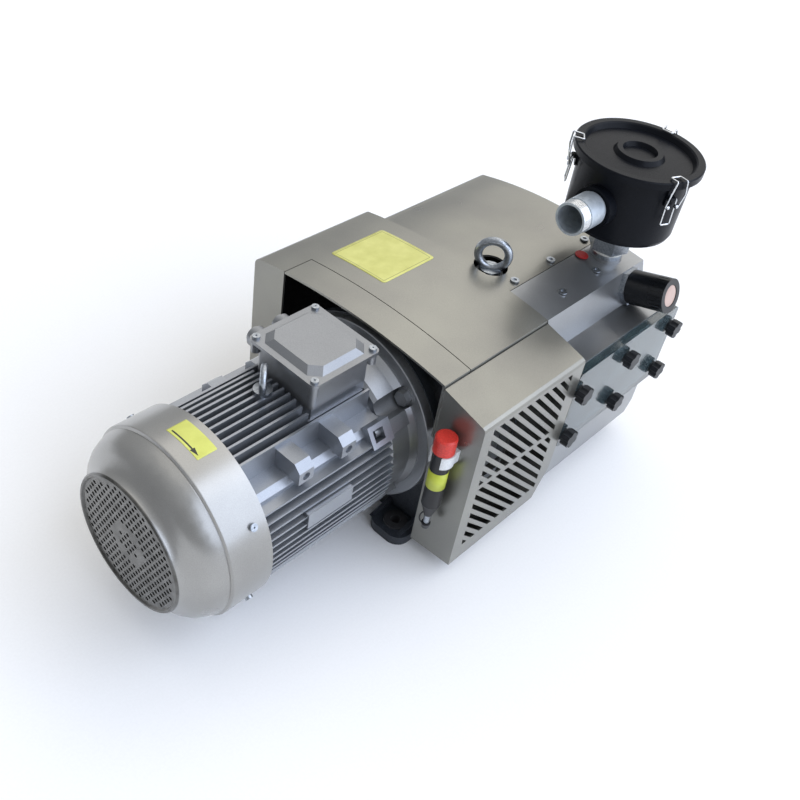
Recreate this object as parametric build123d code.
from build123d import *
import math
import os

# Oil-free rotary vane vacuum pump with a flange-mounted motor. Millimetres, +Z up, +X runs along the
# shaft from the motor to the pump. Every sub-part is drawn about the shaft line with X = 0 at the motor
# flange; put() then moves it into the frame of the whole machine, which stands on Z = 0.

# Place of the motor flange centre in the frame of the machine
FLANGE_X = -188.0
SHAFT_Y = 0.0
SHAFT_HEIGHT = 155.0

# Motor frame: finned barrel between two end shields
FRAME_REAR, FRAME_FRONT = -262.0, -42.0
BARREL_R, BARREL_BORE_R = 88.0, 80.0
FIN_REAR, FIN_FRONT = -247.0, -46.0
FIN_TIP_R, FIN_T, FIN_PITCH = 112.0, 3.0, 10.0
TOP_FINS, SIDE_FINS = 12, 12
RAIL_ROOT, RAIL_IN, RAIL_OUT, RAIL_BEVEL = 55.0, 68.0, 84.0, 7.0
PAD_FACE_Y, PAD_Z0, PAD_Z1 = 95.0, 66.0, 92.0
FAR_PAD_FACE_Y, FAR_PAD_SHIFT = 78.0, 9.0
PAD_W, PAD_BEVEL, PAD_XS = 21.0, 9.0, (-178.5, -114.5)
PAD_SCREW_R, PAD_SCREW_DEPTH = 5.0, 4.0
PLATE_X0, PLATE_X1, PLATE_Z0, PLATE_Z1, PLATE_Y = -186.0, -118.0, 9.0, 31.0, 112.5
# Tie lugs between frame and flange shield, each with a recessed bolt
TIE_DEGS, TIE_R, TIE_TOP_R = (56.0, 124.0, 236.0, 304.0), 101.0, 113.0
TIE_LUG_X0, TIE_LUG_HALF_W, TIE_POCKET_X0, TIE_POCKET_X1, TIE_POCKET_HALF_W = -76.0, 14.0, -70.0, -54.0, 7.5
TIE_SHIELD_X1, TIE_SHIELD_HALF_W, TIE_BOLT_R, TIE_HEAD_R, TIE_HEAD_T, TIE_BOLT_X1 = -14.0, 9.0, 4.0, 6.2, 8.0, -26.0
BOX_SEAT_Z = BARREL_R + 16

# Stator and rotor
CORE_X0, CORE_X1, CORE_R, CORE_BORE_R = -195.0, -75.0, 80.0, 56.0
WINDING_L, WINDING_R, WINDING_BORE_R = 24.0, 76.0, 60.0
ROTOR_R = 54.5
SHAFT_R, SHAFT_END_R = 15.0, 14.0
SHAFT_REAR, SHAFT_STEP, SHAFT_FRONT = -318.0, 14.0, 60.0
BEARING_R, BEARING_W, RUN_GAP = 36.0, 19.0, 0.05

# End shields and flange
REAR_SHIELD_X, REAR_SHIELD_R, REAR_HUB_X = -274.0, 92.0, -285.0
HUB_R, SHAFT_HOLE_R = 45.0, 16.5
LUG_W, LUG_X0, LUG_X1 = 16.0, -270.0, -249.5
FLANGE_R, FLANGE_T, FLANGE_CONE_R, SPIGOT_R, SPIGOT_T = 125.0, 13.0, 111.0, 90.0, 4.0
FLANGE_BOLT_PCD_R, FLANGE_BOLT_R, FLANGE_BOLT_AF, FLANGE_BOLT_HEAD = 107.5, 6.0, 18.0, 8.0
FLANGE_WASHER_R, FLANGE_WASHER_T = 12.0, 2.0

# Fan cowl: pressed cup with a perforated face
COWL_FACE_X, COWL_LIP_X, COWL_EDGE_X = -339.4, -341.4, -240.8
COWL_R, COWL_T = 117.9, 1.6
COWL_OUTER = ((-339.4, 0), (-339.4, 79.3), (-341.4, 81.0), (-341.4, 83.4), (-339.6, 84.9), (-335.0, 86.0),
              (-330.5, 89.0), (-326.0, 94.5), (-320.5, 101.5), (-313.5, 107.5), (-305.0, 111.6),
              (-296.6, 114.4), (-295.2, 114.2), (-293.6, 117.2), (-292.0, 117.9), (-240.8, 117.9))
COWL_INNER = ((-337.8, 0), (-337.8, 83.5), (-334.0, 84.6), (-329.4, 87.8), (-324.7, 93.4), (-319.4, 100.2),
              (-312.8, 106.0), (-304.4, 110.0), (-296.3, 112.7), (-291.6, 116.3), (-239.8, 116.3))
HOLE_PITCH, HOLE_R, HOLE_FIELD_R, HOLE_RING_IN, HOLE_RING_OUT = 8.4, 2.75, 75.0, 16.0, 28.5
COWL_SCREW_X, COWL_SCREW_DEGS = -258.7, (30.0, 150.0, 210.0, 330.0)

# Small M5 screws: cowl, terminal lid
SCREW_R, SCREW_HEAD_R, SCREW_HEAD_T, SCREW_L = 2.5, 4.6, 3.2, 11.0

# Motor fan
FAN_HUB_R, FAN_HUB_X0, FAN_HUB_X1 = 22.0, -316.0, -288.0
FAN_DISC_R, FAN_DISC_X0, FAN_DISC_X1 = 84.0, -292.0, -289.0
FAN_BLADES, FAN_BLADE_T, FAN_BLADE_X0 = 8, 2.5, -321.0

# Terminal box on top of the motor
BOX_X0, BOX_X1, BOX_Y, BOX_Z0, BOX_Z1, BOX_WALL = -129.0, -41.0, 46.0, BOX_SEAT_Z, BOX_SEAT_Z + 39.5, 3.5
LID_X0, LID_X1, LID_Y, LID_Z1, LID_EDGE_T = -137.0, -33.0, 54.0, BOX_Z1 + 11.5, 4.5
LID_CORNER_R, LID_CHAMFER, LID_INSET = 7.0, 7.0, 8.0
LID_SCREW_INSET = 7.0
PLUG_XS, PLUG_Z, PLUG_R, PLUG_Y1, PLUG_HEX_AF = (-110.0, -72.0), BOX_SEAT_Z + 22, 13.0, 74.0, 28.0

# Eye bolts
MOTOR_EYE_X, MOTOR_EYE_Y, MOTOR_EYE_Z, MOTOR_EYE_TURN = -156.0, 4.0, 112.5, 45.0
MOTOR_EYE_RING, MOTOR_EYE_WIRE = 13.5, 4.0
HOOD_EYE_X, HOOD_EYE_Y, HOOD_EYE_TURN = 222.0, -12.0, -59.0
HOOD_EYE_RING, HOOD_EYE_WIRE, HOOD_EYE_COLLAR_Z = 20.0, 5.5, 132.0

# Pump: end plates, cylinder, slotted rotor, vanes
PLATE_T, PLATE_R = 22.0, 106.0
CYL_X0, CYL_X1, CYL_R, CYL_BORE_R = 134.0, 330.0, 98.0, 70.0
BORE_DROP, SIDE_GAP = 7.7, 0.3
PUMP_ROTOR_R, VANES, SLOT_W, SLOT_DEPTH, SLOT_OFFSET = 62.0, 7, 5.0, 34.0, 12.0
VANE_T, VANE_DEPTH, VANE_R = 4.8, 30.0, 61.7
PUMP_SHAFT_X0, PUMP_SHAFT_X1 = 66.0, CYL_X1 + 21
CYL_PAD_Y, CYL_BOSS_R, CYL_BOSS_Z = 107.0, 18.5, 126.0

# Adaptor between motor and pump, with the two front feet
ADAPTOR_X0, ADAPTOR_X1, ADAPTOR_R, ADAPTOR_WALL, ADAPTOR_FLANGE_T = 13.0, 112.0, 127.0, 7.0, 12.0
ADAPTOR_WAIST_R = 118.0
FOOT_Z0, FOOT_Z1, FOOT_Y0, FOOT_Y1 = -155.0, -141.0, 62.0, 122.0
FOOT_CORNER_R = 20.0
FRONT_FOOT_X0, FRONT_FOOT_X1 = -17.0, 46.0
FOOT_HOLE_X, FOOT_HOLE_Y = 8.0, 93.0
REAR_FOOT_X0, REAR_FOOT_X1, REAR_FOOT_HOLE_X = CYL_X1, CYL_X1 + 66, CYL_X1 + 38
BUSH_R, BUSH_BORE_R, BUSH_COLLAR_R, BUSH_COLLAR_T = 13.0, 7.0, 16.0, 3.0
RIB_T, RIB_H, WEB_TOP_Z = 6.0, 9.0, -60.0
FRONT_WEB, REAR_WEB = (27.0, 38.0, 118.0), (CYL_X1 + 6, CYL_X1 + 18, 104.0)

# Coupling and cooling fan
COUPLING_R, COUPLING_HUB_L, SPIDER_T = 34.0, 24.0, 10.0
COUPLING_X0 = 34.0
COOL_DISC_R, COOL_DISC_X0, COOL_DISC_X1, COOL_BLADES, COOL_HUB_R = 100.0, 94.5, 98.0, 12, 30.0
COOL_BLADE_X0 = 70.0

# Hood
CREST_Y, SHEET_T = 10.0, 3.0
WIDE_ARCH, NARROW_ARCH = (930.0, 137.0), (650.0, 136.6)
SEAM_Y, STRIP_X1, SEAM_GAP = -126.0, 45.4, 1.2
WING_X1, WING_Y, WING_IN_Y = 200.0, 197.0, 143.0
HOOD_X1, HOOD_Y1, HOOD_FOOT_Z = CYL_X1 + 98, 172.0, -125.0
STRIP_LEG_Z, CORNER_R, JOGGLE_L = 45.0, 12.0, 14.0

# Louvre cover on the front side
LOUVRE_Y, LOUVRE_BOTTOM_Z, LOUVRE_TOP_OUT_Z, LOUVRE_TOP_IN_Z = -192.0, -133.0, 106.0, 122.5
LOUVRE_X1, LOUVRE_T, LOUVRE_CUT_X, LOUVRE_CUT_Z = 200.0, 2.5, 24.0, -84.0
WINDOW_X0, WINDOW_X1 = 19.0, 176.0
UPPER_WINDOW_Z0, UPPER_WINDOW_Z1, LOWER_WINDOW_Z0, LOWER_WINDOW_Z1 = 2.0, 96.0, -108.0, -6.0
LOUVRE_PITCH, LOUVRE_SLOT_W, LOUVRE_LEAN = 17.0, 8.5, 45.0

# Filter housing with the slanted valve face
HOUSE_X0, HOUSE_X1, HOUSE_TOP_X1 = 200.0, HOOD_X1 + 18, HOOD_X1
HOUSE_FRONT_Y, HOUSE_BACK_Y = -180.0, -107.0
HOUSE_BOTTOM_Z, LEDGE_Z, LEDGE_Y = -128.0, 81.0, -140.5
HOUSE_CUT_X, HOUSE_CUT_Z = 12.0, 22.0
BLOCK_TOP_FRONT_Z, BLOCK_TOP_BACK_Z, BLOCK_BACK_Y = 127.0, 133.0, -62.0
HOUSE_WALL, SHELF_T, SHELF_Y, SHELF_GAP = 5.0, 5.0, -42.0, 0.3
CAVITY_Z0, CAVITY_Z1 = -42.0, 74.0
CARTRIDGE_R, CARTRIDGE_BORE_R, CARTRIDGE_Z, CARTRIDGE_L = 40.0, 22.0, 16.0, 58.0

# Clear cover, its studs and hand knobs
COVER_X0, COVER_X1, COVER_Z0, COVER_Z1, COVER_FRONT_Y = 201.0, HOUSE_X1 + 3, -50.0, 79.0, -192.0
COVER_WALL, COVER_RIM = 5.0, 9.0
STUD_XS, STUD_ZS, STUD_R, STUD_END_Y, STUD_IN_Y = (211.0, 325.0, HOUSE_X1 - 8), (48.0, -29.0), 3.0, -203.0, -163.0
KNOB_R, KNOB_Y0, KNOB_Y1, KNOB_LOBES, KNOB_SCALLOP_R, KNOB_NECK_R = 13.0, -192.3, -206.5, 6, 4.2, 9.0

# Vacuum regulating valve on the slanted face
VALVE_X = HOUSE_X1 - 57
VALVE_HEX_AF, VALVE_HEX_T, VALVE_SPIGOT_R, VALVE_SPIGOT_L = 46.0, 8.0, 15.0, 9.0
VALVE_R, VALVE_L, VALVE_NECK_R = 24.0, 35.0, 12.0
VALVE_CAP_L, VALVE_CAP_GAP, VALVE_CAP_FACE_R, VALVE_CAP_FACE_T = 22.0, 0.3, 15.5, 1.0

# Suction filter canister
CAN_X, CAN_Y, CAN_BOTTOM_Z, CAN_TOP_Z = HOUSE_X1 - 58.5, -86.5, 187.0, 284.0
CAN_BOTTOM_R, CAN_TOP_R, CAN_RIM_R, CAN_T = 73.5, 75.0, 85.0, 1.6
NIPPLE_BUSH_R, NIPPLE_SEAT_Z, NIPPLE_BUSH_Z, NIPPLE_BORE_R = 22.5, 134.0, 139.5, 15.0
NIPPLE_HEX_AF, NIPPLE_HEX_Z1 = 50.0, 168.0
NIPPLE_TAPE_R, NIPPLE_THREAD_R, NIPPLE_TAPE_T, NIPPLE_NUT_R = 22.5, 21.0, 5.0, 29.0
LID_RIM_Z, LID_PAN_Z, LID_RING_R, LID_RING_W, LID_RING_H = 291.0, 283.0, 27.0, 7.0, 7.0
TUBE_R, TUBE_BORE_R, TUBE_Z, TUBE_END_X = 21.2, 18.2, 234.0, CAN_X - 133.5
TUBE_COLLAR_R, TUBE_COLLAR_X = 27.0, CAN_X - 85.5
ELEMENT_R, ELEMENT_BORE_R, ELEMENT_Z0, ELEMENT_Z1 = 52.0, 34.0, 189.6, 280.0

# Wire toggle clips round the canister rim
CLIP_DEGS = (4.0, 126.0, 248.0)
WIRE_R, PIN_GAP = 1.1, 0.1
BRACKET_W, BRACKET_Z0, BRACKET_Z1, BRACKET_T = 12.0, 255.0, 276.0, 3.2
PIVOT_R, PIVOT_Z, BARREL_OUT_R = 81.3, 266.0, 2.6
BAIL_PIVOT_R, BAIL_PIVOT_Z, BAIL_HALF_W, BAIL_MID_HALF_W = 84.5, 257.0, 10.5, 11.5
BAIL_TOP_Z, BAIL_TOP_R, BAIL_OUT_R, BAIL_BEND_Z = 294.5, 74.0, 88.0, 276.0
LEVER_HALF_W, LEVER_END_Z, LEVER_END_R = 7.0, 231.0, 83.0

# Grease gun on the louvre cover
GUN_X, GUN_Y, GUN_R = -15.5, -154.0, 12.0
GUN_CAP_R, GUN_CAP_Z0, GUN_CAP_Z1 = 13.6, 56.0, 79.0
GUN_BARREL_Z0, GUN_TAPER_Z, GUN_TIP_R = -34.0, -56.0, 5.0
GUN_NOZZLE_R, GUN_NOZZLE_Z0 = 4.2, -72.0
GUN_CLIP_R, GUN_CLIP_Z0, GUN_CLIP_Z1, GUN_CLIP_GAP = 15.2, 38.0, 55.7, 0.3


def put(node, shape):
    moved = Pos(FLANGE_X, SHAFT_Y, SHAFT_HEIGHT) * shape
    export_step(moved, "parts/" + node + ".step")


def block(x0, x1, y0, y1, z0, z1):
    return Pos((x0 + x1) / 2, (y0 + y1) / 2, (z0 + z1) / 2) * Box(abs(x1 - x0), abs(y1 - y0), abs(z1 - z0))


def rod_x(r, x0, x1, y=0.0, z=0.0):
    return Pos((x0 + x1) / 2, y, z) * Rot(0, 90, 0) * Cylinder(r, abs(x1 - x0))


def rod_y(r, y0, y1, x=0.0, z=0.0):
    return Pos(x, (y0 + y1) / 2, z) * Rot(90, 0, 0) * Cylinder(r, abs(y1 - y0))


def rod_z(r, z0, z1, x=0.0, y=0.0):
    return Pos(x, y, (z0 + z1) / 2) * Cylinder(r, abs(z1 - z0))


def spun(points):
    # Solid of revolution about the shaft line from (x, radius) points
    return revolve(make_face(Polyline(*[(x, r, 0) for x, r in points], close=True)), Axis.X, 360)


def spun_z(points, x=0.0, y=0.0):
    # Solid of revolution about an upright line from (radius, z) points
    face = make_face(Polyline(*[(r, 0, z) for r, z in points], close=True))
    return Pos(x, y, 0) * revolve(face, Axis.Z, 360)


def prism(points, vector):
    # Flat polygon carried along a vector
    face = make_face(Polyline(*points, close=True))
    return extrude(face, amount=Vector(*vector).length, dir=vector)


def prism_x(yz, x0, x1):
    return prism([(x0, y, z) for y, z in yz], (x1 - x0, 0, 0))


def prism_y(xz, y0, y1):
    return prism([(x, y0, z) for x, z in xz], (0, y1 - y0, 0))


def hexagon_x(across_flats, x0, x1):
    r = across_flats / math.sqrt(3)
    pts = [(r * math.cos(math.radians(60 * i)), r * math.sin(math.radians(60 * i))) for i in range(6)]
    return prism_x(pts, x0, x1)


def hexagon_z(across_flats, z0, z1, x=0.0, y=0.0, turn=0.0):
    return Pos(x, y, 0) * Rot(0, 0, turn) * Rot(0, -90, 0) * hexagon_x(across_flats, z0, z1)


def pan_screw(length):
    # Head above z = 0, shank below
    return rod_z(SCREW_HEAD_R, 0, SCREW_HEAD_T) - rod_z(1.2, SCREW_HEAD_T - 1.5, SCREW_HEAD_T + 1) \
        + rod_z(SCREW_R, -length, 0)


def eye_bolt(ring_r, wire_r, collar_r, shank_r, shank_l):
    # Collar underside at z = 0, shank below it, ring above it in the XZ plane
    ring = Pos(0, 0, collar_r * 0.45 + ring_r) * Rot(90, 0, 0) * Torus(ring_r, wire_r)
    collar = rod_z(collar_r, 0, collar_r * 0.45)
    return ring + collar + rod_z(shank_r, -shank_l, 0)


def fin_plates():
    fins = []
    for i in range(TOP_FINS):
        y = (i - (TOP_FINS - 1) / 2) * FIN_PITCH
        tip = math.sqrt(FIN_TIP_R ** 2 - y ** 2)
        fins.append(block(FIN_REAR, FIN_FRONT, y - FIN_T / 2, y + FIN_T / 2, 60, tip))
        fins.append(block(FIN_REAR, FIN_FRONT, y - FIN_T / 2, y + FIN_T / 2, -tip, -60))
    for i in range(SIDE_FINS):
        z = (i - (SIDE_FINS - 1) / 2) * FIN_PITCH
        tip = math.sqrt(FIN_TIP_R ** 2 - z ** 2)
        fins.append(block(FIN_REAR, FIN_FRONT, 60, tip, z - FIN_T / 2, z + FIN_T / 2))
        fins.append(block(FIN_REAR, FIN_FRONT, -tip, -60, z - FIN_T / 2, z + FIN_T / 2))
    return fins


def frame_rail(side, up):
    # Corner rail along the barrel
    section = ((RAIL_ROOT, RAIL_ROOT), (RAIL_OUT, RAIL_ROOT), (RAIL_OUT, RAIL_IN - RAIL_BEVEL),
               (RAIL_OUT - RAIL_BEVEL, RAIL_IN), (RAIL_ROOT, RAIL_IN))
    return prism_x(tuple((side * y, up * z) for y, z in section), FIN_REAR, FIN_FRONT)


def rail_pads(side, face_y, shift):
    # Two machined pads on an upper rail, each with a threaded hole for a bolt-on foot
    pads = []
    for x in PAD_XS:
        section = ((RAIL_ROOT, PAD_Z0), (face_y, PAD_Z0), (face_y, PAD_Z1 - PAD_BEVEL),
                   (face_y - PAD_BEVEL, PAD_Z1), (RAIL_ROOT, PAD_Z1))
        pad = prism_x(tuple((side * y, z) for y, z in section), x + shift - PAD_W / 2, x + shift + PAD_W / 2)
        hole_z = (PAD_Z0 + PAD_Z1 - PAD_BEVEL) / 2
        hole = rod_y(PAD_SCREW_R, side * (face_y - PAD_SCREW_DEPTH), side * (face_y + 1), x + shift, hole_z)
        pads.append(pad - hole)
    return pads


def tie_lug(x0, x1, half_w):
    # Square lug drawn upright; the caller turns it to its place round the barrel
    return block(x0, x1, -half_w, half_w, BARREL_BORE_R + 4, TIE_TOP_R)


def frame_tie_lugs():
    pocket = block(TIE_POCKET_X0, TIE_POCKET_X1, -TIE_POCKET_HALF_W, TIE_POCKET_HALF_W, TIE_R - 8, TIE_TOP_R + 1)
    hole = rod_x(TIE_BOLT_R, TIE_POCKET_X1 - 1, FRAME_FRONT + 1, 0, TIE_R)
    lug = tie_lug(TIE_LUG_X0, FRAME_FRONT, TIE_LUG_HALF_W)
    return [(Rot(deg, 0, 0) * lug, Rot(deg, 0, 0) * (pocket + hole)) for deg in TIE_DEGS]


def motor_frame():
    body = rod_x(BARREL_R, FRAME_REAR, FRAME_FRONT)
    for fin in fin_plates():
        body = body + fin
    for side in (1, -1):
        for up in (1, -1):
            body = body + frame_rail(side, up)
    for pad in rail_pads(-1, PAD_FACE_Y, 0.0) + rail_pads(1, FAR_PAD_FACE_Y, FAR_PAD_SHIFT):
        body = body + pad
    body = body + block(PLATE_X0, PLATE_X1, -PLATE_Y, -80, PLATE_Z0, PLATE_Z1)
    for lug, cut in frame_tie_lugs():
        body = body + lug - cut
    body = body - block(BOX_X0 - 4, BOX_X1 + 40, -BOX_Y - 4, BOX_Y + 4, BARREL_R + 2, FIN_TIP_R + 5)
    body = body + block(BOX_X0 + 2, BOX_X1 - 2, -BOX_Y + 2, BOX_Y - 2, 70, BOX_SEAT_Z)
    body = body + rod_z(11, 80, MOTOR_EYE_Z, MOTOR_EYE_X, MOTOR_EYE_Y)
    body = body - rod_z(5, 90, MOTOR_EYE_Z + 1, MOTOR_EYE_X, MOTOR_EYE_Y)
    return body - rod_x(BARREL_BORE_R, FRAME_REAR - 1, FRAME_FRONT + 1)


def stator_core():
    return rod_x(CORE_R, CORE_X0, CORE_X1) - rod_x(CORE_BORE_R, CORE_X0 - 1, CORE_X1 + 1)


def stator_windings():
    rear = rod_x(WINDING_R, CORE_X0 - WINDING_L, CORE_X0) - rod_x(WINDING_BORE_R, CORE_X0 - 99, CORE_X0 + 1)
    front = rod_x(WINDING_R, CORE_X1, CORE_X1 + WINDING_L) - rod_x(WINDING_BORE_R, CORE_X1 - 1, CORE_X1 + 99)
    return Compound(children=[rear, front])


def motor_shaft():
    return rod_x(SHAFT_R, SHAFT_REAR, SHAFT_STEP) + rod_x(SHAFT_END_R, SHAFT_STEP, SHAFT_FRONT)


def rotor_core():
    return rod_x(ROTOR_R, CORE_X0, CORE_X1) - rod_x(SHAFT_R, CORE_X0 - 1, CORE_X1 + 1)


def bearing(x0):
    bore = SHAFT_R + RUN_GAP
    return rod_x(BEARING_R, x0, x0 + BEARING_W) - rod_x(bore, x0 - 1, x0 + BEARING_W + 1)


def bearing_places():
    front_plate = CYL_X0 - PLATE_T + 1.5
    rear_plate = CYL_X1 + 1.5
    return (FRAME_REAR - BEARING_W, FRAME_FRONT, front_plate, rear_plate)


def ball_bearings():
    return Compound(children=[bearing(x) for x in bearing_places()])


def rear_shield():
    body = rod_x(REAR_SHIELD_R, REAR_SHIELD_X, FRAME_REAR) + rod_x(HUB_R, REAR_HUB_X, FRAME_REAR)
    for deg in COWL_SCREW_DEGS:
        lug = block(LUG_X0, LUG_X1, -LUG_W / 2, LUG_W / 2, BARREL_R + 2, COWL_R - COWL_T - 0.3)
        neck = block(LUG_X0, FRAME_REAR, -LUG_W / 2, LUG_W / 2, 60, BARREL_R + 3)
        hole = rod_z(SCREW_R, COWL_R - SCREW_L - 1, COWL_R, COWL_SCREW_X, 0)
        body = body + Rot(deg - 90, 0, 0) * (lug + neck - hole)
    body = body - rod_x(BEARING_R, FRAME_REAR - BEARING_W, FRAME_REAR + 1)
    return body - rod_x(SHAFT_HOLE_R, REAR_HUB_X - 1, FRAME_REAR)


def flange_shield():
    body = spun(((FRAME_FRONT, 0), (FRAME_FRONT, 99), (FRAME_FRONT + 5, 102.5), (-12, 106), (-3, FLANGE_CONE_R),
                 (0, FLANGE_CONE_R), (0, FLANGE_R - 1), (1, FLANGE_R), (FLANGE_T, FLANGE_R),
                 (FLANGE_T, SPIGOT_R), (FLANGE_T + SPIGOT_T, SPIGOT_R - 0.3), (FLANGE_T + SPIGOT_T, 0)))
    for i in range(4):
        nut_room = rod_x(FLANGE_WASHER_R + 1.5, FRAME_FRONT - 1, 0, 0, FLANGE_BOLT_PCD_R)
        hole = rod_x(FLANGE_BOLT_R, -1, FLANGE_T + 1, 0, FLANGE_BOLT_PCD_R)
        body = body - Rot(45 + 90 * i, 0, 0) * (nut_room + hole)
    thread = rod_x(TIE_BOLT_R, FRAME_FRONT - 1, TIE_BOLT_X1, 0, TIE_R)
    for deg in TIE_DEGS:
        body = body + Rot(deg, 0, 0) * tie_lug(FRAME_FRONT, TIE_SHIELD_X1, TIE_SHIELD_HALF_W)
        body = body - Rot(deg, 0, 0) * thread
    body = body - rod_x(BEARING_R, FRAME_FRONT - 1, FRAME_FRONT + BEARING_W)
    return body - rod_x(SHAFT_HOLE_R, FRAME_FRONT, FLANGE_T + SPIGOT_T + 1)


def flange_bolts():
    bolts = []
    for i in range(4):
        hexa = hexagon_x(FLANGE_BOLT_AF, -FLANGE_BOLT_HEAD - FLANGE_WASHER_T, -FLANGE_WASHER_T)
        shank = rod_x(FLANGE_BOLT_R, -FLANGE_WASHER_T - 1, ADAPTOR_X0 + ADAPTOR_FLANGE_T)
        bolt = hexa + rod_x(FLANGE_WASHER_R, -FLANGE_WASHER_T, 0) + shank
        bolts.append(Rot(45 + 90 * i, 0, 0) * Pos(0, 0, FLANGE_BOLT_PCD_R) * bolt)
    tie = rod_x(TIE_HEAD_R, TIE_POCKET_X1 - TIE_HEAD_T, TIE_POCKET_X1, 0, TIE_R)
    tie = tie + rod_x(TIE_BOLT_R, TIE_POCKET_X1 - 1, TIE_BOLT_X1, 0, TIE_R)
    bolts.extend(Rot(deg, 0, 0) * tie for deg in TIE_DEGS)
    return Compound(children=bolts)


def cowl_holes():
    holes = []
    row_step = HOLE_PITCH * math.sqrt(3) / 2
    rows = int(HOLE_FIELD_R / row_step)
    for row in range(-rows, rows + 1):
        shift = HOLE_PITCH / 2 if row % 2 else 0.0
        for col in range(-rows - 2, rows + 3):
            y, z = col * HOLE_PITCH + shift, row * row_step
            r = math.hypot(y, z)
            if r < HOLE_RING_IN or HOLE_RING_OUT < r < HOLE_FIELD_R:
                holes.append((y, z))
    return holes


def fan_cowl():
    body = spun(COWL_OUTER + ((COWL_EDGE_X, 0),)) - spun(COWL_INNER + ((COWL_EDGE_X + 1, 0),))
    hole = Rot(0, 90, 0) * extrude(RegularPolygon(HOLE_R, 6), amount=8, both=True)
    cutters = [Pos(COWL_FACE_X, y, z) * hole for y, z in cowl_holes()]
    body = body - cutters
    for deg in COWL_SCREW_DEGS:
        body = body - Rot(deg - 90, 0, 0) * rod_z(SCREW_R + 0.2, COWL_R - 6, COWL_R + 2, COWL_SCREW_X, 0)
    return body


def m5_screws():
    screws = []
    for deg in COWL_SCREW_DEGS:
        screws.append(Rot(deg - 90, 0, 0) * Pos(COWL_SCREW_X, 0, COWL_R) * pan_screw(SCREW_L))
    for x in (LID_X0 + LID_SCREW_INSET, LID_X1 - LID_SCREW_INSET):
        for y in (-LID_Y + LID_SCREW_INSET, LID_Y - LID_SCREW_INSET):
            screws.append(Pos(x, y, BOX_Z1 + LID_EDGE_T) * pan_screw(SCREW_L))
    return Compound(children=screws)


def motor_fan():
    body = rod_x(FAN_HUB_R, FAN_HUB_X0, FAN_HUB_X1) + rod_x(FAN_DISC_R, FAN_DISC_X0, FAN_DISC_X1)
    for i in range(FAN_BLADES):
        blade = block(FAN_BLADE_X0, FAN_DISC_X0 + 1, -FAN_BLADE_T / 2, FAN_BLADE_T / 2, FAN_HUB_R - 2, FAN_DISC_R)
        body = body + Rot(360 / FAN_BLADES * i, 0, 0) * blade
    return body - rod_x(SHAFT_R, FAN_BLADE_X0 - 1, FAN_HUB_X1 + 1)


def terminal_box():
    outer = block(BOX_X0, BOX_X1, -BOX_Y, BOX_Y, BOX_Z0, BOX_Z1)
    outer = fillet(outer.edges().filter_by(Axis.Z), 6)
    inner = block(BOX_X0 + BOX_WALL, BOX_X1 - BOX_WALL, -BOX_Y + BOX_WALL, BOX_Y - BOX_WALL,
                  BOX_Z0 + BOX_WALL, BOX_Z1 + 1)
    body = outer - inner
    for x in (LID_X0 + LID_SCREW_INSET, LID_X1 - LID_SCREW_INSET):
        for y in (-LID_Y + LID_SCREW_INSET, LID_Y - LID_SCREW_INSET):
            body = body + rod_z(5.5, BOX_Z1 - 14, BOX_Z1, x, y)
            body = body - rod_z(SCREW_R, BOX_Z1 - 12, BOX_Z1 + 1, x, y)
    for x in PLUG_XS:
        body = body - rod_y(PLUG_R - 4, BOX_Y - 6, BOX_Y + 1, x, PLUG_Z)
    return body


def terminal_lid():
    edge = block(LID_X0, LID_X1, -LID_Y, LID_Y, BOX_Z1, BOX_Z1 + LID_EDGE_T)
    edge = fillet(edge.edges().filter_by(Axis.Z), LID_CORNER_R)
    low = Pos((LID_X0 + LID_X1) / 2, 0, BOX_Z1 + LID_EDGE_T) * panel_outline(0)
    high = Pos((LID_X0 + LID_X1) / 2, 0, LID_Z1) * panel_outline(LID_CHAMFER)
    body = edge + loft([low.face(), high.face()])
    hollow = block(BOX_X0 + 8, BOX_X1 - 8, -BOX_Y + 8, BOX_Y - 8, BOX_Z1 - 1, BOX_Z1 + 4)
    body = body - hollow
    for x in (LID_X0 + LID_SCREW_INSET, LID_X1 - LID_SCREW_INSET):
        for y in (-LID_Y + LID_SCREW_INSET, LID_Y - LID_SCREW_INSET):
            body = body - rod_z(SCREW_R, BOX_Z1 - 1, LID_Z1 + 1, x, y)
    return body


def panel_outline(inset):
    # Raised panel of the lid with its four corners cut off round the screws
    hx = (LID_X1 - LID_X0) / 2 - LID_INSET - inset
    hy = LID_Y - LID_INSET - inset
    c = 12.0
    pts = [(hx, hy - c), (hx - c, hy), (-hx + c, hy), (-hx, hy - c),
           (-hx, -hy + c), (-hx + c, -hy), (hx - c, -hy), (hx, -hy + c)]
    return make_face(Polyline(*pts, close=True))


def gland_plugs():
    plugs = []
    for x in PLUG_XS:
        hexa = Pos(x, 0, PLUG_Z) * Rot(0, 0, 90) * hexagon_x(PLUG_HEX_AF, BOX_Y, BOX_Y + 8)
        cap = rod_y(PLUG_R, BOX_Y + 8, PLUG_Y1 - 4, x, PLUG_Z)
        end = rod_y(PLUG_R - 3, PLUG_Y1 - 4, PLUG_Y1, x, PLUG_Z)
        plugs.append(hexa + cap + end + rod_y(PLUG_R - 4, BOX_Y - 6, BOX_Y + 1, x, PLUG_Z))
    return Compound(children=plugs)


def motor_eye():
    bolt = eye_bolt(MOTOR_EYE_RING, MOTOR_EYE_WIRE, 11, 5, 16)
    return Pos(MOTOR_EYE_X, MOTOR_EYE_Y, MOTOR_EYE_Z) * Rot(0, 0, MOTOR_EYE_TURN) * bolt


def hood_eye():
    bolt = eye_bolt(HOOD_EYE_RING, HOOD_EYE_WIRE, 15, 6, 24)
    base = CYL_BOSS_Z
    return Pos(HOOD_EYE_X, HOOD_EYE_Y, base) * Rot(0, 0, HOOD_EYE_TURN) * bolt


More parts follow.
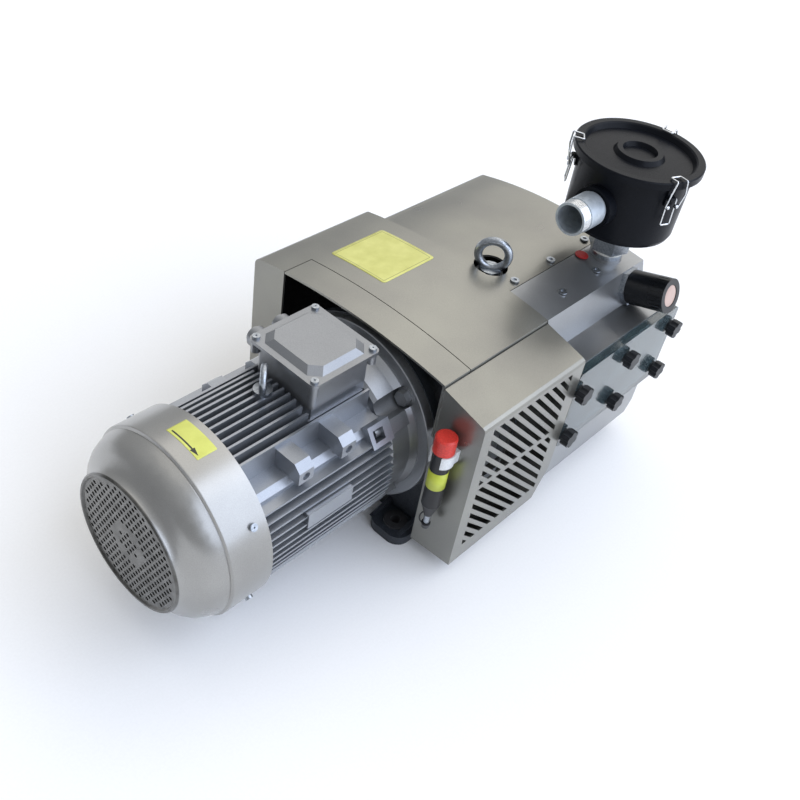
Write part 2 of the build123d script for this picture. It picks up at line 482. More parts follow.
def foot(x0, x1, hole_x, side, web_x0, web_x1, web_y):
    # One cast foot: plate with a bush hole, carried by a web with two ribs
    plate = block(x0, x1, side * FOOT_Y0, side * FOOT_Y1, FOOT_Z0, FOOT_Z1)
    plate = fillet(plate.edges().filter_by(Axis.Z), FOOT_CORNER_R)
    web = block(web_x0, web_x1, side * (FOOT_Y0 - 20), side * web_y, FOOT_Z0, WEB_TOP_Z)
    ribs = []
    for y in (FOOT_Y0 + 1, FOOT_Y1 - RIB_T - 7):
        far = x0 + 6 if abs(x0 - web_x0) > abs(x1 - web_x1) else x1 - 6
        near = web_x0 if far < web_x0 else web_x1
        pts = ((far, FOOT_Z1 - 1), (near, FOOT_Z1 - 1), (near, FOOT_Z1 + RIB_H))
        ribs.append(prism_y(pts, side * y, side * (y + RIB_T)))
    body = plate + web
    for rib in ribs:
        body = body + rib
    return body - rod_z(BUSH_R, FOOT_Z0 - 1, FOOT_Z1 + 1, hole_x, side * FOOT_HOLE_Y)


def adaptor_housing():
    body = spun(((ADAPTOR_X0, 0), (ADAPTOR_X0, ADAPTOR_R), (ADAPTOR_X0 + ADAPTOR_FLANGE_T, ADAPTOR_R),
                 (ADAPTOR_X0 + ADAPTOR_FLANGE_T + 4, ADAPTOR_WAIST_R), (ADAPTOR_X1, PLATE_R),
                 (ADAPTOR_X1, 0)))
    inner = spun(((ADAPTOR_X0 - 1, 0), (ADAPTOR_X0 - 1, SPIGOT_R), (ADAPTOR_X0 + ADAPTOR_FLANGE_T, SPIGOT_R),
                  (ADAPTOR_X0 + ADAPTOR_FLANGE_T + 2, ADAPTOR_WAIST_R - ADAPTOR_WALL),
                  (ADAPTOR_X1 - 9, PLATE_R - ADAPTOR_WALL + 3), (ADAPTOR_X1 - 9, HUB_R), (ADAPTOR_X1 + 1, HUB_R),
                  (ADAPTOR_X1 + 1, 0)))
    for side in (1, -1):
        body = body + foot(FRONT_FOOT_X0, FRONT_FOOT_X1, FOOT_HOLE_X, side, *FRONT_WEB)
    body = body - inner
    for side in (1, -1):
        body = body - block(40, 92, side * 60, side * 140, -45, 45)
    for i in range(4):
        hole = rod_x(FLANGE_BOLT_R, ADAPTOR_X0 - 1, ADAPTOR_X0 + 40, 0, FLANGE_BOLT_PCD_R)
        body = body - Rot(45 + 90 * i, 0, 0) * hole
    return body - rod_x(FLANGE_R + 0.5, -60, ADAPTOR_X0)


def foot_bushings():
    bushes = []
    for x in (FOOT_HOLE_X, REAR_FOOT_HOLE_X):
        for side in (1, -1):
            y = side * FOOT_HOLE_Y
            bush = rod_z(BUSH_R, FOOT_Z0, FOOT_Z1, x, y)
            bush = bush + rod_z(BUSH_COLLAR_R, FOOT_Z1, FOOT_Z1 + BUSH_COLLAR_T, x, y)
            bushes.append(bush - rod_z(BUSH_BORE_R, FOOT_Z0 - 1, FOOT_Z1 + BUSH_COLLAR_T + 1, x, y))
    return Compound(children=bushes)


def end_plate(x0, pocket_x0, pocket_x1):
    body = rod_x(PLATE_R, x0, x0 + PLATE_T)
    body = body - rod_x(BEARING_R, pocket_x0, pocket_x1)
    return body - rod_x(SHAFT_HOLE_R, x0 - 1, x0 + PLATE_T + 1)


def end_plate_front():
    x0 = CYL_X0 - PLATE_T
    return end_plate(x0, x0 + 1.5, x0 + 1.5 + BEARING_W)


def end_plate_rear():
    body = end_plate(CYL_X1, CYL_X1 + 1.5, CYL_X1 + 1.5 + BEARING_W)
    for side in (1, -1):
        body = body + foot(REAR_FOOT_X0, REAR_FOOT_X1, REAR_FOOT_HOLE_X, side, *REAR_WEB)
    return body


def pump_cylinder():
    body = rod_x(CYL_R, CYL_X0, CYL_X1)
    for x in range(int(CYL_X0) + 12, int(CYL_X1) - 10, 28):
        body = body + rod_x(CYL_R + 7, x, x + 4)
    body = body + block(210, 320, -CYL_PAD_Y, -70, -40, 60)
    body = body + rod_z(CYL_BOSS_R, 80, CYL_BOSS_Z, HOOD_EYE_X, HOOD_EYE_Y)
    body = body - rod_z(6, CYL_BOSS_Z - 24, CYL_BOSS_Z + 1, HOOD_EYE_X, HOOD_EYE_Y)
    return body - rod_x(CYL_BORE_R, CYL_X0 - 1, CYL_X1 + 1, 0, -BORE_DROP)


def slot_cutter(thickness, bottom, top, x0, x1):
    return block(x0, x1, SLOT_OFFSET - thickness / 2, SLOT_OFFSET + thickness / 2, bottom, top)


def pump_rotor():
    body = rod_x(PUMP_ROTOR_R, CYL_X0 + SIDE_GAP, CYL_X1 - SIDE_GAP) + rod_x(SHAFT_R, PUMP_SHAFT_X0, PUMP_SHAFT_X1)
    floor = PUMP_ROTOR_R - SLOT_DEPTH
    for i in range(VANES):
        body = body - Rot(360 / VANES * i, 0, 0) * slot_cutter(SLOT_W, floor, PUMP_ROTOR_R + 5,
                                                               CYL_X0, CYL_X1)
    return body


def vanes():
    tip = math.sqrt(VANE_R ** 2 - (SLOT_OFFSET + VANE_T / 2) ** 2)
    pieces = []
    for i in range(VANES):
        vane = slot_cutter(VANE_T, tip - VANE_DEPTH, tip, CYL_X0 + 2 * SIDE_GAP, CYL_X1 - 2 * SIDE_GAP)
        pieces.append(Rot(360 / VANES * i, 0, 0) * vane)
    return Compound(children=pieces)


def coupling_hub(x0, bore):
    hub = rod_x(COUPLING_R, x0, x0 + COUPLING_HUB_L)
    return hub - rod_x(bore, x0 - 1, x0 + COUPLING_HUB_L + 1)


def coupling_hubs():
    first = coupling_hub(COUPLING_X0, SHAFT_END_R)
    second = coupling_hub(COUPLING_X0 + COUPLING_HUB_L + SPIDER_T, SHAFT_R)
    return Compound(children=[first, second])


def coupling_spider():
    x0 = COUPLING_X0 + COUPLING_HUB_L
    body = rod_x(COUPLING_R - 4, x0, x0 + SPIDER_T) - rod_x(SHAFT_R + 2, x0 - 1, x0 + SPIDER_T + 1)
    for i in range(6):
        body = body + Rot(60 * i, 0, 0) * block(x0, x0 + SPIDER_T, -4, 4, COUPLING_R - 8, COUPLING_R)
    return body


def cooling_fan():
    body = rod_x(COOL_DISC_R, COOL_DISC_X0, COOL_DISC_X1)
    body = body + rod_x(COOL_HUB_R, COOL_DISC_X0 - 2, COOL_DISC_X1 + 2)
    for i in range(COOL_BLADES):
        blade = block(COOL_BLADE_X0, COOL_DISC_X0 + 1, -1.5, 1.5, COOL_DISC_R - 36, COOL_DISC_R)
        body = body + Rot(360 / COOL_BLADES * i, 0, 0) * blade
    return body - rod_x(SHAFT_R, COOL_BLADE_X0 - 1, COOL_DISC_X1 + 3)


def crown(y, arch, inset=0.0):
    # Height of an arched sheet, or of the face that lies inset below it
    radius, crest = arch
    return crest - radius + math.sqrt((radius - inset) ** 2 - (y - CREST_Y) ** 2)


def crowned_solid(x0, x1, y0, y1, arch, inset, bottom):
    # Extruded cross-section with an arched top and a rounded +Y shoulder
    corner = CORNER_R - inset
    y_side, y_arc = y1 - inset, y1 - CORNER_R
    y_mid = (y0 + y_arc) / 2
    z_arc = crown(y_arc, arch, inset)
    half = math.sqrt(0.5)
    top = ThreePointArc((x0, y0, crown(y0, arch, inset)), (x0, y_mid, crown(y_mid, arch, inset)), (x0, y_arc, z_arc))
    shoulder = ThreePointArc((x0, y_arc, z_arc), (x0, y_arc + corner * half, z_arc - corner * (1 - half)),
                             (x0, y_side, z_arc - corner))
    edges = [top, shoulder, Line((x0, y_side, z_arc - corner), (x0, y_side, bottom)),
             Line((x0, y_side, bottom), (x0, y0, bottom)), Line((x0, y0, bottom), (x0, y0, crown(y0, arch, inset)))]
    return extrude(make_face(edges), amount=x1 - x0, dir=(1, 0, 0))


def diagonal_slots(x0, x1, z0, z1, y0, y1):
    # Leaning ventilation slots clipped to one rectangular window
    window = block(x0, x1, y0, y1, z0, z1)
    lean = math.tan(math.radians(LOUVRE_LEAN))
    height = z1 - z0
    slots = []
    x = x0 - height * lean
    while x < x1 + height * lean:
        pts = ((x, z1 + 2), (x + LOUVRE_SLOT_W, z1 + 2), (x + LOUVRE_SLOT_W + (height + 4) * lean, z0 - 2),
               (x + (height + 4) * lean, z0 - 2))
        slot = prism_y(pts, y0, y1) & window
        slots.extend(s for s in slot.solids() if s.volume > abs(y1 - y0) * 40)
        x += LOUVRE_PITCH
    return slots


def hood_shell():
    x_in = STRIP_X1 + SEAM_GAP
    y_in = BLOCK_BACK_Y + SEAM_GAP
    outer = crowned_solid(x_in, WING_X1, SEAM_Y, WING_Y, WIDE_ARCH, 0.0, HOOD_FOOT_Z)
    outer = outer + crowned_solid(0, WING_X1, WING_IN_Y, WING_Y, WIDE_ARCH, 0.0, HOOD_FOOT_Z)
    outer = outer + crowned_solid(WING_X1 - 1, HOOD_X1, y_in, HOOD_Y1, NARROW_ARCH, 0.0, HOOD_FOOT_Z)
    low = HOOD_FOOT_Z - 1
    body = outer - crowned_solid(x_in - 1, WING_X1 - SHEET_T, SEAM_Y + SHEET_T, WING_Y, WIDE_ARCH, SHEET_T, low)
    body = body - crowned_solid(SHEET_T, WING_X1 - SHEET_T, WING_IN_Y - 1, WING_Y, WIDE_ARCH, SHEET_T, low)
    return body - crowned_solid(WING_X1 - 9, HOOD_X1 - SHEET_T, y_in - 1, HOOD_Y1, NARROW_ARCH, SHEET_T, low)


def strip_joggle():
    # Hidden lip of the hood that the front strip lies on
    x_in = STRIP_X1 + SEAM_GAP
    reach = block(0, WING_X1, SEAM_Y + 8, WING_IN_Y - 4, 90, 200)
    lip = crowned_solid(STRIP_X1 - JOGGLE_L, x_in + 4, SEAM_Y, WING_Y, WIDE_ARCH, SHEET_T + SHELF_GAP, 100)
    lip = lip + crowned_solid(x_in, x_in + 4, SEAM_Y, WING_Y, WIDE_ARCH, SHEET_T / 2, 100)
    lip = lip - crowned_solid(0, WING_X1, SEAM_Y - 1, WING_Y, WIDE_ARCH, 2 * SHEET_T, 90)
    return lip & reach


def hood_main():
    body = hood_shell() + strip_joggle()
    body = body - block(WING_X1 - 6, WING_X1 + 1, SEAM_Y - 1, BLOCK_BACK_Y + SEAM_GAP, HOOD_FOOT_Z - 1, 108)
    body = body - block(STRIP_X1 + 16, WING_X1 - 10, SEAM_Y - 1, SEAM_Y + SHEET_T + 1, -108, 96)
    for low, high in ((UPPER_WINDOW_Z0, UPPER_WINDOW_Z1 - 8), (LOWER_WINDOW_Z0, LOWER_WINDOW_Z1)):
        body = body - diagonal_slots(WINDOW_X0, WINDOW_X1, low, high, WING_Y - 5, WING_Y + 1)
    body = body - hood_end_slots()
    for x, y in hood_screw_places()[:3]:
        body = body - rod_z(3.3, 120, 140, x, y)
    return body - rod_z(23, 120, 140, HOOD_EYE_X, HOOD_EYE_Y)


def hood_end_slots():
    slots = []
    for i in range(9):
        z = -70 + 18 * i
        slots.append(block(HOOD_X1 - 5, HOOD_X1 + 1, -20, 130, z, z + 7))
    return slots


def hood_front_strip():
    outer = crowned_solid(0, STRIP_X1, SEAM_Y, WING_IN_Y + 30, WIDE_ARCH, 0.0, STRIP_LEG_Z)
    inner = crowned_solid(-1, STRIP_X1 + 1, SEAM_Y + SHEET_T, WING_IN_Y + 40, WIDE_ARCH, SHEET_T, STRIP_LEG_Z - 1)
    body = outer - inner
    return body - block(-1, STRIP_X1 + 1, WING_IN_Y - SEAM_GAP, WING_IN_Y + 60, 0, 200)


def louvre_cover():
    yi = SEAM_Y - SEAM_GAP
    outer_pts = ((yi, LOUVRE_TOP_IN_Z), (LOUVRE_Y + 5, LOUVRE_TOP_OUT_Z + 1.2), (LOUVRE_Y + 1.2, LOUVRE_TOP_OUT_Z - 1),
                 (LOUVRE_Y, LOUVRE_TOP_OUT_Z - 5), (LOUVRE_Y, LOUVRE_BOTTOM_Z), (yi, LOUVRE_BOTTOM_Z - 5))
    t = LOUVRE_T
    inner_pts = ((yi + 1, LOUVRE_TOP_IN_Z - t + 0.2), (LOUVRE_Y + 6, LOUVRE_TOP_OUT_Z + 1.2 - t),
                 (LOUVRE_Y + t, LOUVRE_TOP_OUT_Z - 6), (LOUVRE_Y + t, LOUVRE_BOTTOM_Z + t),
                 (yi + 1, LOUVRE_BOTTOM_Z - 5 + t))
    outer = prism_x(outer_pts, 0, LOUVRE_X1)
    inner = prism_x(inner_pts, t, LOUVRE_X1 - t)
    low = LOUVRE_BOTTOM_Z - 6
    outer_cut = prism_y(((LOUVRE_X1 - LOUVRE_CUT_X, low), (LOUVRE_X1 + 1, low), (LOUVRE_X1 + 1, LOUVRE_CUT_Z)),
                        LOUVRE_Y - 1, yi + 1)
    inner_cut = prism_y(((LOUVRE_X1 - LOUVRE_CUT_X - t, low), (LOUVRE_X1 + 1, low), (LOUVRE_X1 + 1, LOUVRE_CUT_Z + 2 * t)),
                        LOUVRE_Y - 1, yi + 2)
    body = (outer - outer_cut) - (inner - inner_cut)
    body = body - diagonal_slots(WINDOW_X0, WINDOW_X1, UPPER_WINDOW_Z0, UPPER_WINDOW_Z1, LOUVRE_Y - 1, LOUVRE_Y + 5)
    return body - diagonal_slots(WINDOW_X0, WINDOW_X1, LOWER_WINDOW_Z0, LOWER_WINDOW_Z1, LOUVRE_Y - 1, LOUVRE_Y + 5)


def filter_housing():
    low = ((HOUSE_BACK_Y, HOUSE_BOTTOM_Z), (HOUSE_FRONT_Y, HOUSE_BOTTOM_Z), (HOUSE_FRONT_Y, LEDGE_Z),
           (HOUSE_BACK_Y, LEDGE_Z))
    body = prism_x(low, HOUSE_X0, HOUSE_X1)
    corner = prism_y(((HOUSE_X1 - HOUSE_CUT_X, HOUSE_BOTTOM_Z - 1), (HOUSE_X1 + 1, HOUSE_BOTTOM_Z - 1),
                      (HOUSE_X1 + 1, HOUSE_BOTTOM_Z + HOUSE_CUT_Z)), HOUSE_FRONT_Y - 1, HOUSE_BACK_Y + 1)
    body = body - corner
    high = ((HOUSE_BACK_Y, LEDGE_Z - 1), (LEDGE_Y, LEDGE_Z - 1), (LEDGE_Y, LEDGE_Z), (SEAM_Y, BLOCK_TOP_FRONT_Z),
            (BLOCK_BACK_Y, BLOCK_TOP_BACK_Z), (BLOCK_BACK_Y, BLOCK_TOP_BACK_Z - 12), (HOUSE_BACK_Y, 110))
    body = body + prism_x(high, HOUSE_X0, HOUSE_TOP_X1)
    shelf_top = crown(BLOCK_BACK_Y, NARROW_ARCH) - SHEET_T - SHELF_GAP
    body = body + block(HOUSE_X0 + 4, HOOD_X1 - 8, BLOCK_BACK_Y - 4, SHELF_Y, shelf_top - SHELF_T - 4, shelf_top)
    for x0, x1 in cavity_spans():
        body = body - block(x0, x1, HOUSE_FRONT_Y - 1, HOUSE_BACK_Y - HOUSE_WALL, CAVITY_Z0, CAVITY_Z1)
    for x in STUD_XS:
        for z in STUD_ZS:
            body = body - rod_y(STUD_R, HOUSE_FRONT_Y - 1, STUD_IN_Y, x, z)
    body = body - block(HOUSE_X0 + 8, HOUSE_TOP_X1 - 6, LEDGE_Y + 12, BLOCK_BACK_Y - 12, LEDGE_Z + 6, 112)
    body = body - block(HOUSE_X0 + 8, HOUSE_X1 - 26, HOUSE_FRONT_Y + 6, HOUSE_BACK_Y - 5, HOUSE_BOTTOM_Z - 1, -56)
    body = body + rod_z(NIPPLE_BUSH_R + 1, 115, NIPPLE_SEAT_Z, CAN_X, CAN_Y)
    body = body - rod_z(NIPPLE_BORE_R, 100, 140, CAN_X, CAN_Y)
    body = body - valve_frame(rod_z(VALVE_SPIGOT_R, -VALVE_SPIGOT_L, 1))
    for x, y in hood_screw_places():
        body = body - rod_z(2.5, 120, 138, x, y)
    return body


def cavity_spans():
    web = 8.0
    return ((STUD_XS[0] + 9, STUD_XS[1] - web), (STUD_XS[1] + web, STUD_XS[2] - 9))


def valve_frame(shape):
    # Turns a shape drawn along +Z so that it stands square on the slanted face
    z = (LEDGE_Z + BLOCK_TOP_FRONT_Z) / 2
    y = (LEDGE_Y + SEAM_Y) / 2
    tilt = math.degrees(math.atan2(SEAM_Y - LEDGE_Y, BLOCK_TOP_FRONT_Z - LEDGE_Z))
    return Pos(VALVE_X, y, z) * Rot(90 - abs(tilt), 0, 0) * shape


def hood_screw_places():
    return ((223.0, -52.0), (303.0, -52.0), (CAN_X - 0.5, -50.0), (262.0, -103.0), (CAN_X - 44.5, -102.0))


def hood_screws():
    screws = []
    for x, y in hood_screw_places():
        on_hood = y > BLOCK_BACK_Y
        slope = (BLOCK_TOP_BACK_Z - BLOCK_TOP_FRONT_Z) / (BLOCK_BACK_Y - SEAM_Y)
        z = crown(y, NARROW_ARCH) if on_hood else BLOCK_TOP_FRONT_Z + (y - SEAM_Y) * slope
        head = rod_z(6, z + 0.65, z + 2.6) - rod_z(2.6, z + 1.2, z + 4)
        screws.append(Pos(x, y, 0) * (head + rod_z(2.5, z - 9, z + 1)))
    return Compound(children=screws)


def filter_cartridges():
    pieces = []
    for x0, x1 in cavity_spans():
        x = (x0 + x1) / 2
        y0 = HOUSE_BACK_Y - HOUSE_WALL
        pleats = rod_y(CARTRIDGE_R, y0 - CARTRIDGE_L, y0, x, CARTRIDGE_Z)
        pieces.append(pleats - rod_y(CARTRIDGE_BORE_R, y0 - CARTRIDGE_L - 1, y0 - 4, x, CARTRIDGE_Z))
    return Compound(children=pieces)


def clear_cover():
    body = block(COVER_X0, COVER_X1, COVER_FRONT_Y, HOUSE_FRONT_Y, COVER_Z0, COVER_Z1)
    body = fillet(body.edges().filter_by(Axis.Y), 8)
    pocket = block(COVER_X0 + COVER_RIM, COVER_X1 - COVER_RIM, COVER_FRONT_Y + COVER_WALL, HOUSE_FRONT_Y + 1,
                   COVER_Z0 + COVER_RIM, COVER_Z1 - COVER_RIM)
    for x in STUD_XS:
        for z in STUD_ZS:
            pocket = pocket - rod_y(COVER_RIM + 2, COVER_FRONT_Y, HOUSE_FRONT_Y + 2, x, z)
    body = body - pocket
    for x in STUD_XS:
        for z in STUD_ZS:
            body = body - rod_y(STUD_R + 0.5, COVER_FRONT_Y - 1, HOUSE_FRONT_Y + 1, x, z)
    return body


def cover_studs():
    return Compound(children=[rod_y(STUD_R, STUD_END_Y, STUD_IN_Y, x, z) for x in STUD_XS for z in STUD_ZS])


def cover_knob(x, z):
    # Star knob with a blind hole for the stud
    head = rod_y(KNOB_R, KNOB_Y0 - 3, KNOB_Y1, 0, 0)
    for i in range(KNOB_LOBES):
        deg = math.radians(360 / KNOB_LOBES * i)
        px, pz = (KNOB_R + 1.6) * math.cos(deg), (KNOB_R + 1.6) * math.sin(deg)
        head = head - rod_y(KNOB_SCALLOP_R, KNOB_Y0, KNOB_Y1 - 1, px, pz)
    head = head + rod_y(KNOB_NECK_R, KNOB_Y0, KNOB_Y0 - 3.5, 0, 0)
    head = head - rod_y(STUD_R + RUN_GAP, KNOB_Y0 + 1, STUD_END_Y - 0.3, 0, 0)
    return Pos(x, 0, z) * head


def valve_nipple():
    hexa = hexagon_z(VALVE_HEX_AF, 0, VALVE_HEX_T, turn=30)
    body = hexa + rod_z(VALVE_SPIGOT_R, -VALVE_SPIGOT_L, 0)
    return valve_frame(body - rod_z(9, -VALVE_SPIGOT_L - 1, VALVE_HEX_T + 1))


def valve_body():
    z0 = VALVE_HEX_T
    body = rod_z(VALVE_R, z0, z0 + VALVE_L) - rod_z(VALVE_R - 4, z0 - 1, z0 + 18)
    body = body + rod_z(VALVE_NECK_R, z0 + VALVE_L, z0 + VALVE_L + 14)
    return valve_frame(body)


def valve_knob():
    z0 = VALVE_HEX_T + VALVE_L + VALVE_CAP_GAP
    cap = rod_z(VALVE_R, z0, z0 + VALVE_CAP_L)
    for i in range(24):
        cap = cap - Rot(0, 0, 15 * i) * block(VALVE_R - 0.7, VALVE_R + 2, -0.9, 0.9, z0 + 3, z0 + VALVE_CAP_L - 3)
    cap = cap - rod_z(VALVE_CAP_FACE_R, z0 + VALVE_CAP_L - VALVE_CAP_FACE_T, z0 + VALVE_CAP_L + 1)
    neck = VALVE_HEX_T + VALVE_L + 14
    return valve_frame(cap - rod_z(VALVE_NECK_R + RUN_GAP, z0 - 1, neck + 0.3))


def canister_nipple():
    bush = rod_z(NIPPLE_BUSH_R, NIPPLE_SEAT_Z, NIPPLE_BUSH_Z, CAN_X, CAN_Y)
    tape = rod_z(NIPPLE_TAPE_R, NIPPLE_BUSH_Z, NIPPLE_BUSH_Z + NIPPLE_TAPE_T, CAN_X, CAN_Y)
    hexa = hexagon_z(NIPPLE_HEX_AF, NIPPLE_BUSH_Z + NIPPLE_TAPE_T, NIPPLE_HEX_Z1, CAN_X, CAN_Y, 12)
    neck = rod_z(NIPPLE_THREAD_R, NIPPLE_HEX_Z1, CAN_BOTTOM_Z + 8, CAN_X, CAN_Y)
    body = bush + tape + hexa + neck
    return body - rod_z(NIPPLE_BORE_R, NIPPLE_SEAT_Z - 2, CAN_BOTTOM_Z + 10, CAN_X, CAN_Y)


def can_radius(z):
    return CAN_BOTTOM_R + (CAN_TOP_R - CAN_BOTTOM_R) * (z - CAN_BOTTOM_Z) / (CAN_TOP_Z - CAN_BOTTOM_Z)


def canister_body():
    b, t = CAN_BOTTOM_Z, CAN_T
    outer = ((0, b), (CAN_BOTTOM_R - 7, b), (CAN_BOTTOM_R - 2, b + 2), (CAN_BOTTOM_R, b + 7),
             (CAN_TOP_R, CAN_TOP_Z - 4), (CAN_RIM_R, CAN_TOP_Z - 3), (CAN_RIM_R, CAN_TOP_Z), (0, CAN_TOP_Z))
    inner = ((0, b + t), (CAN_BOTTOM_R - 8, b + t), (CAN_BOTTOM_R - t - 2, b + 3.5), (CAN_BOTTOM_R - t, b + 8),
             (CAN_TOP_R - t, CAN_TOP_Z + 1), (0, CAN_TOP_Z + 1))
    body = spun_z(outer, CAN_X, CAN_Y)
    body = body + rod_x(TUBE_COLLAR_R, TUBE_COLLAR_X, CAN_X - 60, CAN_Y, TUBE_Z)
    body = body - spun_z(inner, CAN_X, CAN_Y)
    body = body - rod_x(TUBE_R, TUBE_COLLAR_X - 1, CAN_X - 40, CAN_Y, TUBE_Z)
    return body - rod_z(NIPPLE_THREAD_R, b - 1, b + 5, CAN_X, CAN_Y)


def canister_lid():
    ring_in, ring_out = LID_RING_R - LID_RING_W, LID_RING_R + LID_RING_W
    top = ((0, LID_PAN_Z + 1), (ring_in, LID_PAN_Z + 1), (ring_in + 3, LID_PAN_Z + LID_RING_H),
           (ring_out - 4, LID_PAN_Z + LID_RING_H), (ring_out, LID_PAN_Z + 1.5), (CAN_TOP_R - 5, LID_PAN_Z + 0.5),
           (CAN_TOP_R - 2, LID_RIM_Z - 1.5), (CAN_TOP_R, LID_RIM_Z), (CAN_RIM_R - 1.5, LID_RIM_Z),
           (CAN_RIM_R, LID_RIM_Z - 1.5), (CAN_RIM_R, CAN_TOP_Z), (CAN_TOP_R - CAN_T - 0.4, CAN_TOP_Z),
           (CAN_TOP_R - CAN_T - 0.4, LID_PAN_Z - 2.5), (0, LID_PAN_Z - 1.5))
    return spun_z(top, CAN_X, CAN_Y)


def inlet_tube():
    inner_end = CAN_X - can_radius(TUBE_Z) + 4
    tube = rod_x(TUBE_R, TUBE_END_X, inner_end, CAN_Y, TUBE_Z)
    sleeve = rod_x(TUBE_R + 1.2, TUBE_END_X + 16, TUBE_COLLAR_X - 3, CAN_Y, TUBE_Z)
    return tube + sleeve - rod_x(TUBE_BORE_R, TUBE_END_X - 1, inner_end + 1, CAN_Y, TUBE_Z)


def filter_element():
    ring = rod_z(ELEMENT_R, ELEMENT_Z0, ELEMENT_Z1, CAN_X, CAN_Y)
    return ring - rod_z(ELEMENT_BORE_R, ELEMENT_Z0 - 1, ELEMENT_Z1 - 4, CAN_X, CAN_Y)


def at_clip(deg, shape):
    # Clips are drawn with the canister axis on Z and the clip on +X
    return Pos(CAN_X, CAN_Y, 0) * Rot(0, 0, deg) * shape


def clip_bracket():
    wall = can_radius(BRACKET_Z0) - 0.2
    plate = block(wall - 3, wall + BRACKET_T, -BRACKET_W / 2, BRACKET_W / 2, BRACKET_Z0, BRACKET_Z1)
    low, high = BRACKET_Z0 - 5, BRACKET_Z1 + 5
    plate = plate - spun_z(((0, low), (can_radius(low) + 0.15, low), (can_radius(high) + 0.15, high), (0, high)))
    arm = block(wall + 2, PIVOT_R, -4, 4, PIVOT_Z - BARREL_OUT_R, PIVOT_Z + BARREL_OUT_R)
    barrel = rod_y(BARREL_OUT_R, -4, 4, PIVOT_R, PIVOT_Z)
    return plate + arm + barrel - rod_y(WIRE_R + PIN_GAP, -5, 5, PIVOT_R, PIVOT_Z)


def clip_brackets():
    return Compound(children=[at_clip(deg, clip_bracket()) for deg in CLIP_DEGS])


def wire(points, reach):
    # Round wire through the points; each bend is two short mitres, a reach before and after the corner
    vectors = [Vector(*point) for point in points]
    course = [vectors[0]]
    for before, corner, after in zip(vectors, vectors[1:], vectors[2:]):
        course.append(corner + (before - corner).normalized() * reach)
        course.append(corner + (after - corner).normalized() * reach)
    path = Polyline(*course, vectors[-1])
    start = Plane(origin=path @ 0, z_dir=path % 0)
    return sweep(start * Circle(WIRE_R), path=path, transition=Transition.RIGHT)


def clip_lever():
    w = LEVER_HALF_W
    half = [(PIVOT_R, w, PIVOT_Z), (LEVER_END_R, w, LEVER_END_Z)]
    points = [(PIVOT_R, 0, PIVOT_Z)] + half + [(r, -y, z) for r, y, z in reversed(half)] + [(PIVOT_R, -0.2, PIVOT_Z)]
    loop = wire(points, 1.6)
    for side in (1, -1):
        eye = rod_y(2.6, side * (w - 1.6), side * (w + 1.6), BAIL_PIVOT_R, BAIL_PIVOT_Z)
        loop = loop + eye
    return loop - rod_y(WIRE_R + PIN_GAP, -w - 3, w + 3, BAIL_PIVOT_R, BAIL_PIVOT_Z)


def clip_bail():
    w = BAIL_HALF_W
    half = [(BAIL_PIVOT_R, w, BAIL_PIVOT_Z), (BAIL_OUT_R, BAIL_MID_HALF_W, BAIL_BEND_Z),
            (BAIL_OUT_R, w - 3, BAIL_TOP_Z), (BAIL_TOP_R, w - 3, BAIL_TOP_Z - 1.5)]
    start = (BAIL_PIVOT_R, LEVER_HALF_W - 2.5, BAIL_PIVOT_Z)
    end = (BAIL_PIVOT_R, -LEVER_HALF_W + 2.5, BAIL_PIVOT_Z)
    return wire([start] + half + [(r, -y, z) for r, y, z in reversed(half)] + [end], 1.4)


def grease_gun():
    profile = ((0, GUN_TAPER_Z), (GUN_TIP_R, GUN_TAPER_Z), (GUN_R - 1, GUN_BARREL_Z0 - 3), (GUN_R, GUN_BARREL_Z0),
               (GUN_R, GUN_CAP_Z0 + 6), (0, GUN_CAP_Z0 + 6))
    return spun_z(profile, GUN_X, GUN_Y)


def grease_gun_cap():
    cap = spun_z(((0, GUN_CAP_Z0), (GUN_CAP_R, GUN_CAP_Z0), (GUN_CAP_R, GUN_CAP_Z1 - 2), (GUN_CAP_R - 2, GUN_CAP_Z1),
                  (0, GUN_CAP_Z1)), GUN_X, GUN_Y)
    return cap - rod_z(GUN_R, GUN_CAP_Z0 - 1, GUN_CAP_Z0 + 6, GUN_X, GUN_Y)


def grease_gun_nozzle():
    profile = ((0, GUN_NOZZLE_Z0), (2.4, GUN_NOZZLE_Z0), (GUN_NOZZLE_R, GUN_NOZZLE_Z0 + 3),
               (GUN_NOZZLE_R, GUN_TAPER_Z), (0, GUN_TAPER_Z))
    return spun_z(profile, GUN_X, GUN_Y)


def grease_gun_clip():
    ring = rod_z(GUN_CLIP_R, GUN_CLIP_Z0, GUN_CLIP_Z1, GUN_X, GUN_Y)
    back = block(GUN_X, 0, GUN_Y - 13, GUN_Y + 9, GUN_CLIP_Z0, GUN_CLIP_Z1)
    body = ring + back - rod_z(GUN_R + GUN_CLIP_GAP, GUN_CLIP_Z0 - 1, GUN_CLIP_Z1 + 1, GUN_X, GUN_Y)
    return body - block(GUN_X - 20, GUN_X - 4, GUN_Y - 8, GUN_Y + 8, GUN_CLIP_Z0 - 1, GUN_CLIP_Z1 + 1)


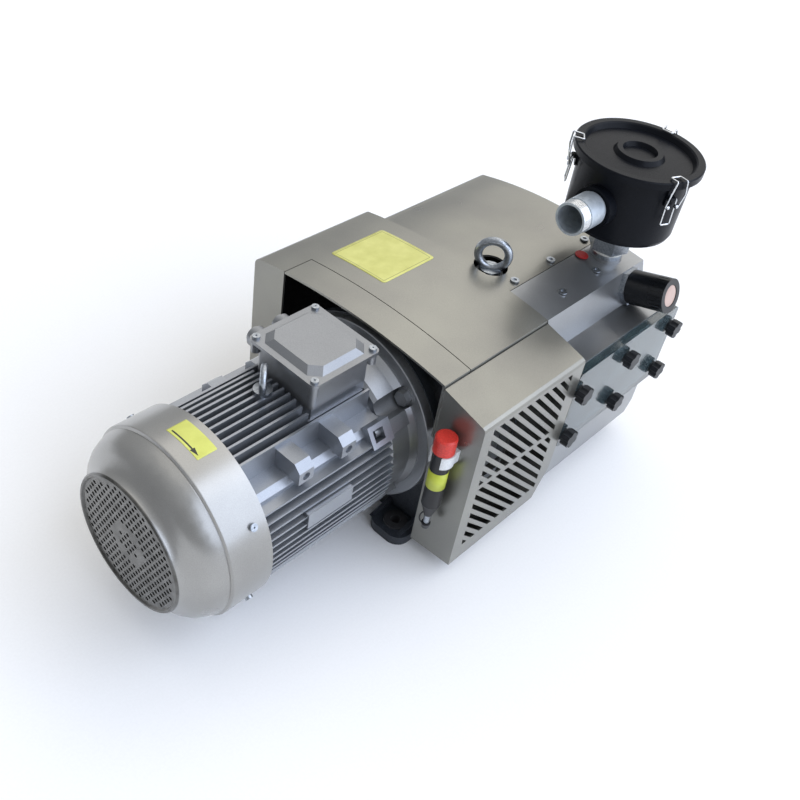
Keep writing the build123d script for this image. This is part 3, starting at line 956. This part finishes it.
def main():
    os.makedirs("parts", exist_ok=True)
    put("fan_cowl", fan_cowl())
    put("m5_screws", m5_screws())
    put("motor_fan", motor_fan())
    put("motor_rear_shield", rear_shield())
    put("motor_frame", motor_frame())
    put("stator_core", stator_core())
    put("stator_windings", stator_windings())
    put("motor_shaft", motor_shaft())
    put("rotor_core", rotor_core())
    put("ball_bearings", ball_bearings())
    put("motor_flange_shield", flange_shield())
    put("flange_bolts", flange_bolts())
    put("terminal_box", terminal_box())
    put("terminal_lid", terminal_lid())
    put("gland_plugs", gland_plugs())
    put("motor_lifting_eye", motor_eye())
    put("adaptor_housing", adaptor_housing())
    put("foot_bushings", foot_bushings())
    put("end_plate_front", end_plate_front())
    put("pump_cylinder", pump_cylinder())
    put("end_plate_rear", end_plate_rear())
    put("pump_rotor", pump_rotor())
    put("vanes", vanes())
    put("coupling_hubs", coupling_hubs())
    put("coupling_spider", coupling_spider())
    put("cooling_fan", cooling_fan())
    put("hood_main", hood_main())
    put("hood_front_strip", hood_front_strip())
    put("louvre_cover", louvre_cover())
    put("filter_housing", filter_housing())
    put("hood_screws", hood_screws())
    put("hood_lifting_eye", hood_eye())
    put("filter_cartridges", filter_cartridges())
    put("clear_cover", clear_cover())
    put("cover_studs", cover_studs())
    for i, (x, z) in enumerate((x, z) for z in STUD_ZS for x in STUD_XS):
        put("cover_knob_" + str(i + 1), cover_knob(x, z))
    put("valve_nipple", valve_nipple())
    put("valve_body", valve_body())
    put("valve_knob", valve_knob())
    put("canister_nipple", canister_nipple())
    put("canister_body", canister_body())
    put("canister_lid", canister_lid())
    put("inlet_tube", inlet_tube())
    put("filter_element", filter_element())
    put("clip_brackets", clip_brackets())
    for i, deg in enumerate(CLIP_DEGS):
        put("clip_lever_" + str(i + 1), at_clip(deg, clip_lever()))
        put("clip_bail_" + str(i + 1), at_clip(deg, clip_bail()))
    put("grease_gun", grease_gun())
    put("grease_gun_cap", grease_gun_cap())
    put("grease_gun_nozzle", grease_gun_nozzle())
    put("grease_gun_clip", grease_gun_clip())


main()
